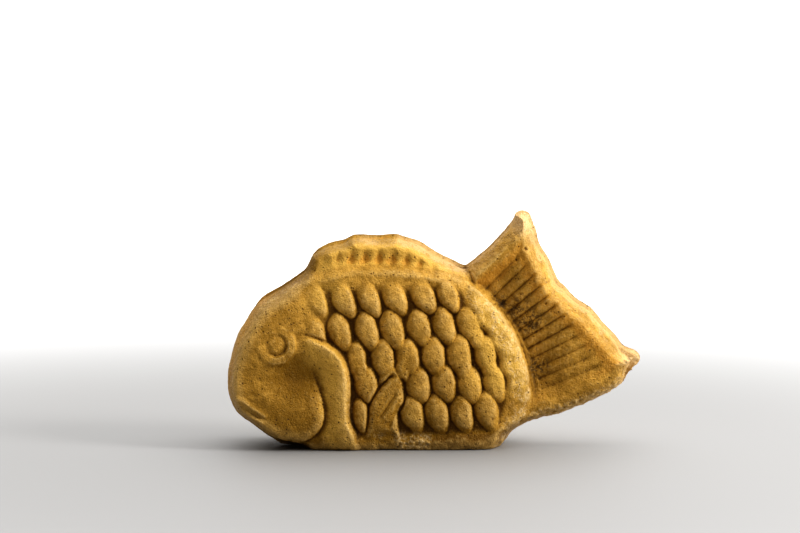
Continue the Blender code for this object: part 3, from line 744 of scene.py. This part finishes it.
def store_browning_and_painted_shade(mesh, points, marks, area, hollow, rough):
    """Amber edges; real browning mixed with painted shade on the cheek, the lower body, the head, the foot,
    the dorsal rim and the middle of the tail; and the charred root of the tail.
    """
    x, z = points[:, 0], points[:, 2]
    inset, body, behind = marks["inset"], marks["body"], area["behind"]
    tail_band = behind * ramp(x, 8, 16) * bell(inset - 8.5 + 1.5 * rough, 3.0) * ramp(z, 18, 34)
    snout = 0.7 * ramp(5 - inset + rough, 0, 4) * ramp(-x, 50, 64)
    store(mesh, "amber", highest(tail_band, snout, area["dorsal"] * ramp(hollow, 0.1, 0.6)))
    # painted shade mixed with real browning: darker towards the bottom, less on the gill plate and towards
    # the tail, where the light falls
    lower = 0.95 * ramp(42 - z, 0, 42) * (1 - 0.75 * area["gill_plate"]) * (1 - 0.5 * ramp(x, 0, 26))
    # painted shade at the belly's foot, on the top of the head and on the dorsal fin's rim
    belly_foot_shade = 3.2 * ramp(x, -12, 8) * ramp(9 - z, 0, 6) * ramp(body, -1, 2)
    head_top_shade = 1.2 * ramp(9 - inset, 0, 5) * ramp(-x, 38, 50) * ramp(z, 40, 54)
    dorsal_rim_shade = 1.2 * behind * ramp(5 - inset, 0, 3) * ramp(12 - x, 0, 6) * ramp(z, 56, 62)
    # painted shade with some real browning, on the cheek, the head, the lower body, the foot, the dorsal rim
    # and the middle of the tail
    store(mesh, "browning_and_painted_shade", highest(
        spots(points, CHEEK_SHADE_SPOT), 0.35 * ramp(-x, 40, 50), lower,
        behind * spots(points, TAIL_SHADE_SPOT), belly_foot_shade, head_top_shade, dorsal_rim_shade,
    ))
    store(mesh, "char", spots(points, CHAR_SPOTS) * ramp(-body, 0, 2.5))


def crust():
    points, faces, marks = both_halves(STEP)
    mesh = mesh_of("taiyaki_crust", points, faces)
    rough, crumbly, on_crest = wear(points, marks)
    points, sink = roughened(points, vertex_normals(mesh), crumbly, on_crest)
    mesh.vertices.foreach_set("co", (points * MM).astype(np.float32).ravel())
    mesh.update()
    normals = vertex_normals(mesh)
    area = regions(points, marks, rough)  # painted shade in hollows is weaker on the dorsal fin, the rear scales and the tail's rear corner
    painted_shade_share = (1 - 0.8 * area["dorsal"]) * (1 - 0.3 * area["rear_scales"]) * (1 - spots(points, UNSHADED_CORNER_SPOT))
    crease_shade_and_ridge_light = hollowness(mesh, points, normals, CAVITY_ROUNDS)
    hollow = hollowness(mesh, points, normals, VALLEY_ROUNDS)
    # painted shade in fine creases and a painted highlight on fine ridges
    store(mesh, "crease_shade_and_ridge_light", crease_shade_and_ridge_light * (1 - 0.5 * area["seam"]) * painted_shade_share)
    # painted shade in broad hollows such as the cheek's and under the crest, and a painted highlight on
    # broad rises
    store(mesh, "valley", hollow * (1 - 0.6 * np.maximum(area["behind"], area["seam"])) * painted_shade_share)
    # pit depth, by which the pits are painted dark as shade inside them
    store(mesh, "pit_shade", sink)
    store_pale_and_painted_light(mesh, points, marks, area, crumbly, on_crest, rough)
    store_browning_and_painted_shade(mesh, points, marks, area, hollow, rough)
    mesh.shade_smooth()
    ob = bpy.data.objects.new("taiyaki_crust", mesh)
    bpy.context.scene.collection.objects.link(ob)
    ob.data.materials.append(crust_material())
    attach(ob, "root")
    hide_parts("taiyaki")


# ---- material --------------------------------------------------------------------------------------
class Nodes:
    """Short ways to add and join the nodes of one material."""

    def __init__(self, material):
        self.tree = material.node_tree
        self.shader = self.tree.nodes["Principled BSDF"]
        coords = self.tree.nodes.new("ShaderNodeTexCoord")
        self.position = coords.outputs["Object"]

    def link(self, source, socket):
        if isinstance(source, bpy.types.NodeSocket):
            self.tree.links.new(source, socket)
        else:
            socket.default_value = source

    def noise(self, size, detail=2.0, roughness=0.5, seed=0.0):
        """Noise whose blotches are about size metres across."""
        node = self.tree.nodes.new("ShaderNodeTexNoise")
        node.noise_dimensions = "4D"
        self.link(self.position, node.inputs["Vector"])
        node.inputs["W"].default_value = seed
        node.inputs["Scale"].default_value = 1 / size
        node.inputs["Detail"].default_value = detail
        node.inputs["Roughness"].default_value = roughness
        return node.outputs["Fac"]

    def cells(self, size, seed=0.0):
        """Distance from the centres of scattered cells about size metres apart."""
        node = self.tree.nodes.new("ShaderNodeTexVoronoi")
        node.voronoi_dimensions = "4D"
        self.link(self.position, node.inputs["Vector"])
        node.inputs["W"].default_value = seed
        node.inputs["Scale"].default_value = 1 / size
        return node.outputs["Distance"]

    def attribute(self, name):
        node = self.tree.nodes.new("ShaderNodeAttribute")
        node.attribute_name = name
        return node.outputs["Fac"]

    def span(self, value, low, high, to_low=0.0, to_high=1.0):
        """value, moved from the span low to high onto to_low to to_high, and held inside it."""
        node = self.tree.nodes.new("ShaderNodeMapRange")
        node.interpolation_type = "SMOOTHSTEP"
        for source, socket in zip((value, low, high, to_low, to_high), node.inputs):
            self.link(source, socket)
        return node.outputs["Result"]

    def times(self, a, b):
        node = self.tree.nodes.new("ShaderNodeMath")
        node.operation = "MULTIPLY"
        self.link(a, node.inputs[0])
        self.link(b, node.inputs[1])
        return node.outputs[0]

    def mix(self, share, a, b):
        node = self.tree.nodes.new("ShaderNodeMix")
        node.data_type = "RGBA"
        self.link(share, node.inputs[0])
        self.link(a, node.inputs[6])
        self.link(b, node.inputs[7])
        return node.outputs[2]

    def bump(self, height, distance, normal=None):
        node = self.tree.nodes.new("ShaderNodeBump")
        node.inputs["Distance"].default_value = distance
        self.link(height, node.inputs["Height"])
        if normal:
            self.link(normal, node.inputs["Normal"])
        return node.outputs["Normal"]


GOLD = (0.59, 0.34, 0.066, 1)
BROWN = (0.25, 0.129, 0.008, 1)
SPECK_AND_RIDGE_LIGHT = (0.66, 0.44, 0.16, 1)
PAINTED_LIGHT_GOLD = (0.68, 0.42, 0.09, 1)
PALE = (0.64, 0.42, 0.19, 1)
GLINT_AND_CRUMB = (0.86, 0.68, 0.42, 1)
DARK = (0.115, 0.050, 0.003, 1)
AMBER = (0.56, 0.28, 0.040, 1)
BURNT = (0.045, 0.026, 0.012, 1)
TINTS = (  # attribute, value where the tint begins, value where it is full, its strength, colour
    # real browning mixed with painted shade
    ("browning_and_painted_shade", 0.0, 1.3, 0.9, BROWN),
    ("browning_and_painted_shade", 1.2, 2.2, 0.5, DARK),
    # painted light
    ("painted_light", 0.0, 1.0, 0.8, PAINTED_LIGHT_GOLD),
    ("amber", 0.2, 0.9, 0.65, AMBER),
    # painted highlight on fine ridges and broad rises, painted shade in broad hollows
    ("crease_shade_and_ridge_light", -0.02, -0.14, 0.5, SPECK_AND_RIDGE_LIGHT),
    ("valley", -0.2, -1.0, 0.35, SPECK_AND_RIDGE_LIGHT),
    ("valley", 0.0, 1.0, 0.9, BROWN),
    ("valley", 0.3, 1.1, 0.8, DARK),
    # pale batter, with a painted highlight at the tail's tips
    ("pale", 0.1, 0.9, 0.85, PALE),
    # painted shade in fine creases and in pits
    ("crease_shade_and_ridge_light", 0.04, 0.25, 0.75, DARK),
    ("pit_shade", 0.1, 0.4, 0.8, DARK),
)
BLOTCH, MOTTLE, SPECK_SIZE = 0.010, 0.0026, 0.0006  # metres across
CHAR_SIZE, GLINT_SIZE, PORE_GAP, PORE_PATCH = 0.0022, 0.0010, 0.0014, 0.005
SHEEN_SIZE, ROUGHNESS = 0.0009, (0.40, 0.62)
FINE_BUMP, BROAD_BUMP = (0.0006, 0.00055), (0.0020, 0.0004)  # size and height in metres
PORE_DEPTH = -0.0003
GLOSS = 0.18


def pore_mask(n):
    """Small round pores, in patches, which are dented and painted dark as shade inside them."""
    patch = n.span(n.noise(PORE_PATCH, 2, 0.5, 4), 0.38, 0.52)
    return n.times(n.span(n.cells(PORE_GAP, 3), 0.27, 0.14), patch)


def crust_color(n, pores):
    """Gold with brown blotches, then the tints with their painted light and shade, the char, the pores
    painted dark as shade inside them, the finest specks and painted glints.
    """
    blotch = n.span(n.noise(BLOTCH, 3, 0.6, 1), 0.38, 0.66)
    mottle = n.span(n.noise(MOTTLE, 3, 0.65, 2), 0.42, 0.62)
    color = n.mix(n.times(blotch, 0.5), GOLD, BROWN)
    color = n.mix(n.times(mottle, 0.5), color, BROWN)
    for name, begins, full, strength, tint in TINTS:
        color = n.mix(n.span(n.attribute(name), begins, full, 0, strength), color, tint)
    burnt = n.times(n.attribute("char"), n.span(n.noise(CHAR_SIZE, 4, 0.8, 9), 0.42, 0.56))
    color = n.mix(n.span(burnt, 0.1, 0.8, 0, 0.8), color, BURNT)
    # painted shade inside the pores
    color = n.mix(n.times(pores, 0.8), color, DARK)
    speck = n.noise(SPECK_SIZE, 2, 0.6, 8)
    color = n.mix(n.span(speck, 0.55, 0.72, 0, 0.25), color, SPECK_AND_RIDGE_LIGHT)
    color = n.mix(n.span(speck, 0.44, 0.30, 0, 0.40), color, DARK)
    # painted glints, and pale crumbs where the crust is crumbly
    glint = n.times(n.attribute("glint_and_crumbs"), n.span(n.noise(GLINT_SIZE, 3, 0.7, 10), 0.42, 0.62))
    return n.mix(n.times(glint, 0.4), color, GLINT_AND_CRUMB)


def crust_material():
    material = bpy.data.materials.new("baked_crust")
    material.use_nodes = True
    n = Nodes(material)
    pores = pore_mask(n)
    n.link(crust_color(n, pores), n.shader.inputs["Base Color"])
    sheen = n.noise(SHEEN_SIZE, 2, 0.5, 5)
    n.link(n.span(sheen, 0.3, 0.7, *ROUGHNESS), n.shader.inputs["Roughness"])
    n.shader.inputs["Specular IOR Level"].default_value = GLOSS
    size, height = FINE_BUMP
    normal = n.bump(n.noise(size, 3, 0.6, 6), height)
    size, height = BROAD_BUMP
    normal = n.bump(n.noise(size, 3, 0.6, 7), height, normal)
    normal = n.bump(pores, PORE_DEPTH, normal)
    n.link(normal, n.shader.inputs["Normal"])
    return material


# ---- stage, in metres ------------------------------------------------------------------------------
FLOOR_HALF = 4.0
# the floor near the cake is painted dark, a painted shadow pool that also bounces less light onto the cake
FLOOR_SHADE_NEAR, FLOOR_FAR = (0.27, 0.265, 0.26, 1), (0.80, 0.80, 0.80, 1)
FLOOR_FADE = (0.12, 0.9)  # from the cake's middle, the floor grows pale between these distances
FLOOR_ROUGHNESS = 0.7
DOME_SIDE = (0.35, 0.30, 0.88)  # where the dome is brightest
DOME_EDGE, DOME_LOW, DOME_HIGH = 0.05, 0.09, 2.15  # where it begins to brighten, and how bright it is
BACKDROP = 0.97
KEY_PLACE, KEY_TARGET = (0.85, -0.30, 0.50), (0, 0, 0.04)
KEY_SIZE, KEY_WATTS = 0.25, 6
CAMERA_PLACE, CAMERA_DIP = (-0.0124, -0.546, 0.090), 2.615  # the dip in degrees below level
LENS, SENSOR = 67.5, 36


def floor():
    mesh = bpy.data.meshes.new("floor")
    half = FLOOR_HALF
    corners = [(-half, -half, 0), (half, -half, 0), (half, half, 0), (-half, half, 0)]
    mesh.from_pydata(corners, [], [(0, 1, 2, 3)])
    ob = bpy.data.objects.new("floor", mesh)
    bpy.context.scene.collection.objects.link(ob)
    material = bpy.data.materials.new("floor")
    material.use_nodes = True
    n = Nodes(material)
    away = n.tree.nodes.new("ShaderNodeVectorMath")
    away.operation = "LENGTH"
    n.link(n.position, away.inputs[0])
    # painted shadow pool: darker near the cake
    fade = n.span(away.outputs["Value"], *FLOOR_FADE)
    n.link(n.mix(fade, FLOOR_SHADE_NEAR, FLOOR_FAR), n.shader.inputs["Base Color"])
    n.shader.inputs["Roughness"].default_value = FLOOR_ROUGHNESS
    mesh.materials.append(material)


def world():
    """White behind the object. As a source of light it is a soft dome, brightest above, behind and right."""
    made = bpy.data.worlds.new("studio")
    bpy.context.scene.world = made
    made.use_nodes = True
    tree = made.node_tree
    background = tree.nodes["Background"]
    background.inputs["Color"].default_value = (1, 1, 1, 1)
    coords = tree.nodes.new("ShaderNodeTexCoord")
    facing = tree.nodes.new("ShaderNodeVectorMath")
    facing.operation = "DOT_PRODUCT"
    facing.inputs[1].default_value = Vector(DOME_SIDE).normalized()
    tree.links.new(coords.outputs["Generated"], facing.inputs[0])
    lobe = tree.nodes.new("ShaderNodeMapRange")
    lobe.interpolation_type = "SMOOTHSTEP"
    lobe.inputs["From Min"].default_value = DOME_EDGE
    lobe.inputs["To Min"].default_value = DOME_LOW
    lobe.inputs["To Max"].default_value = DOME_HIGH
    tree.links.new(facing.outputs["Value"], lobe.inputs["Value"])
    path = tree.nodes.new("ShaderNodeLightPath")
    level = tree.nodes.new("ShaderNodeMapRange")
    level.inputs["To Max"].default_value = BACKDROP
    tree.links.new(lobe.outputs["Result"], level.inputs["To Min"])
    tree.links.new(path.outputs["Is Camera Ray"], level.inputs["Value"])
    tree.links.new(level.outputs["Result"], background.inputs["Strength"])


def key_light():
    """A small softbox from the upper right."""
    data = bpy.data.lights.new("key", "AREA")
    data.shape = "RECTANGLE"
    data.size, data.size_y = KEY_SIZE, KEY_SIZE
    data.energy = KEY_WATTS
    ob = bpy.data.objects.new("key", data)
    ob.location = KEY_PLACE
    ob.rotation_euler = (Vector(KEY_TARGET) - Vector(KEY_PLACE)).to_track_quat("-Z", "Y").to_euler()
    bpy.context.scene.collection.objects.link(ob)


def camera():
    """Level with the cake's upper edge, square to its left side, looking slightly down."""
    data = bpy.data.cameras.new("camera")
    data.lens = LENS
    data.sensor_width = SENSOR
    ob = bpy.data.objects.new("camera", data)
    ob.location = CAMERA_PLACE
    ob.rotation_euler = (math.radians(90 - CAMERA_DIP), 0, 0)
    bpy.context.scene.collection.objects.link(ob)
    bpy.context.scene.camera = ob


crust()
floor()
world()
key_light()
camera()
bpy.context.scene.view_settings.view_transform = "Standard"
bpy.context.scene.view_settings.look = "High Contrast"
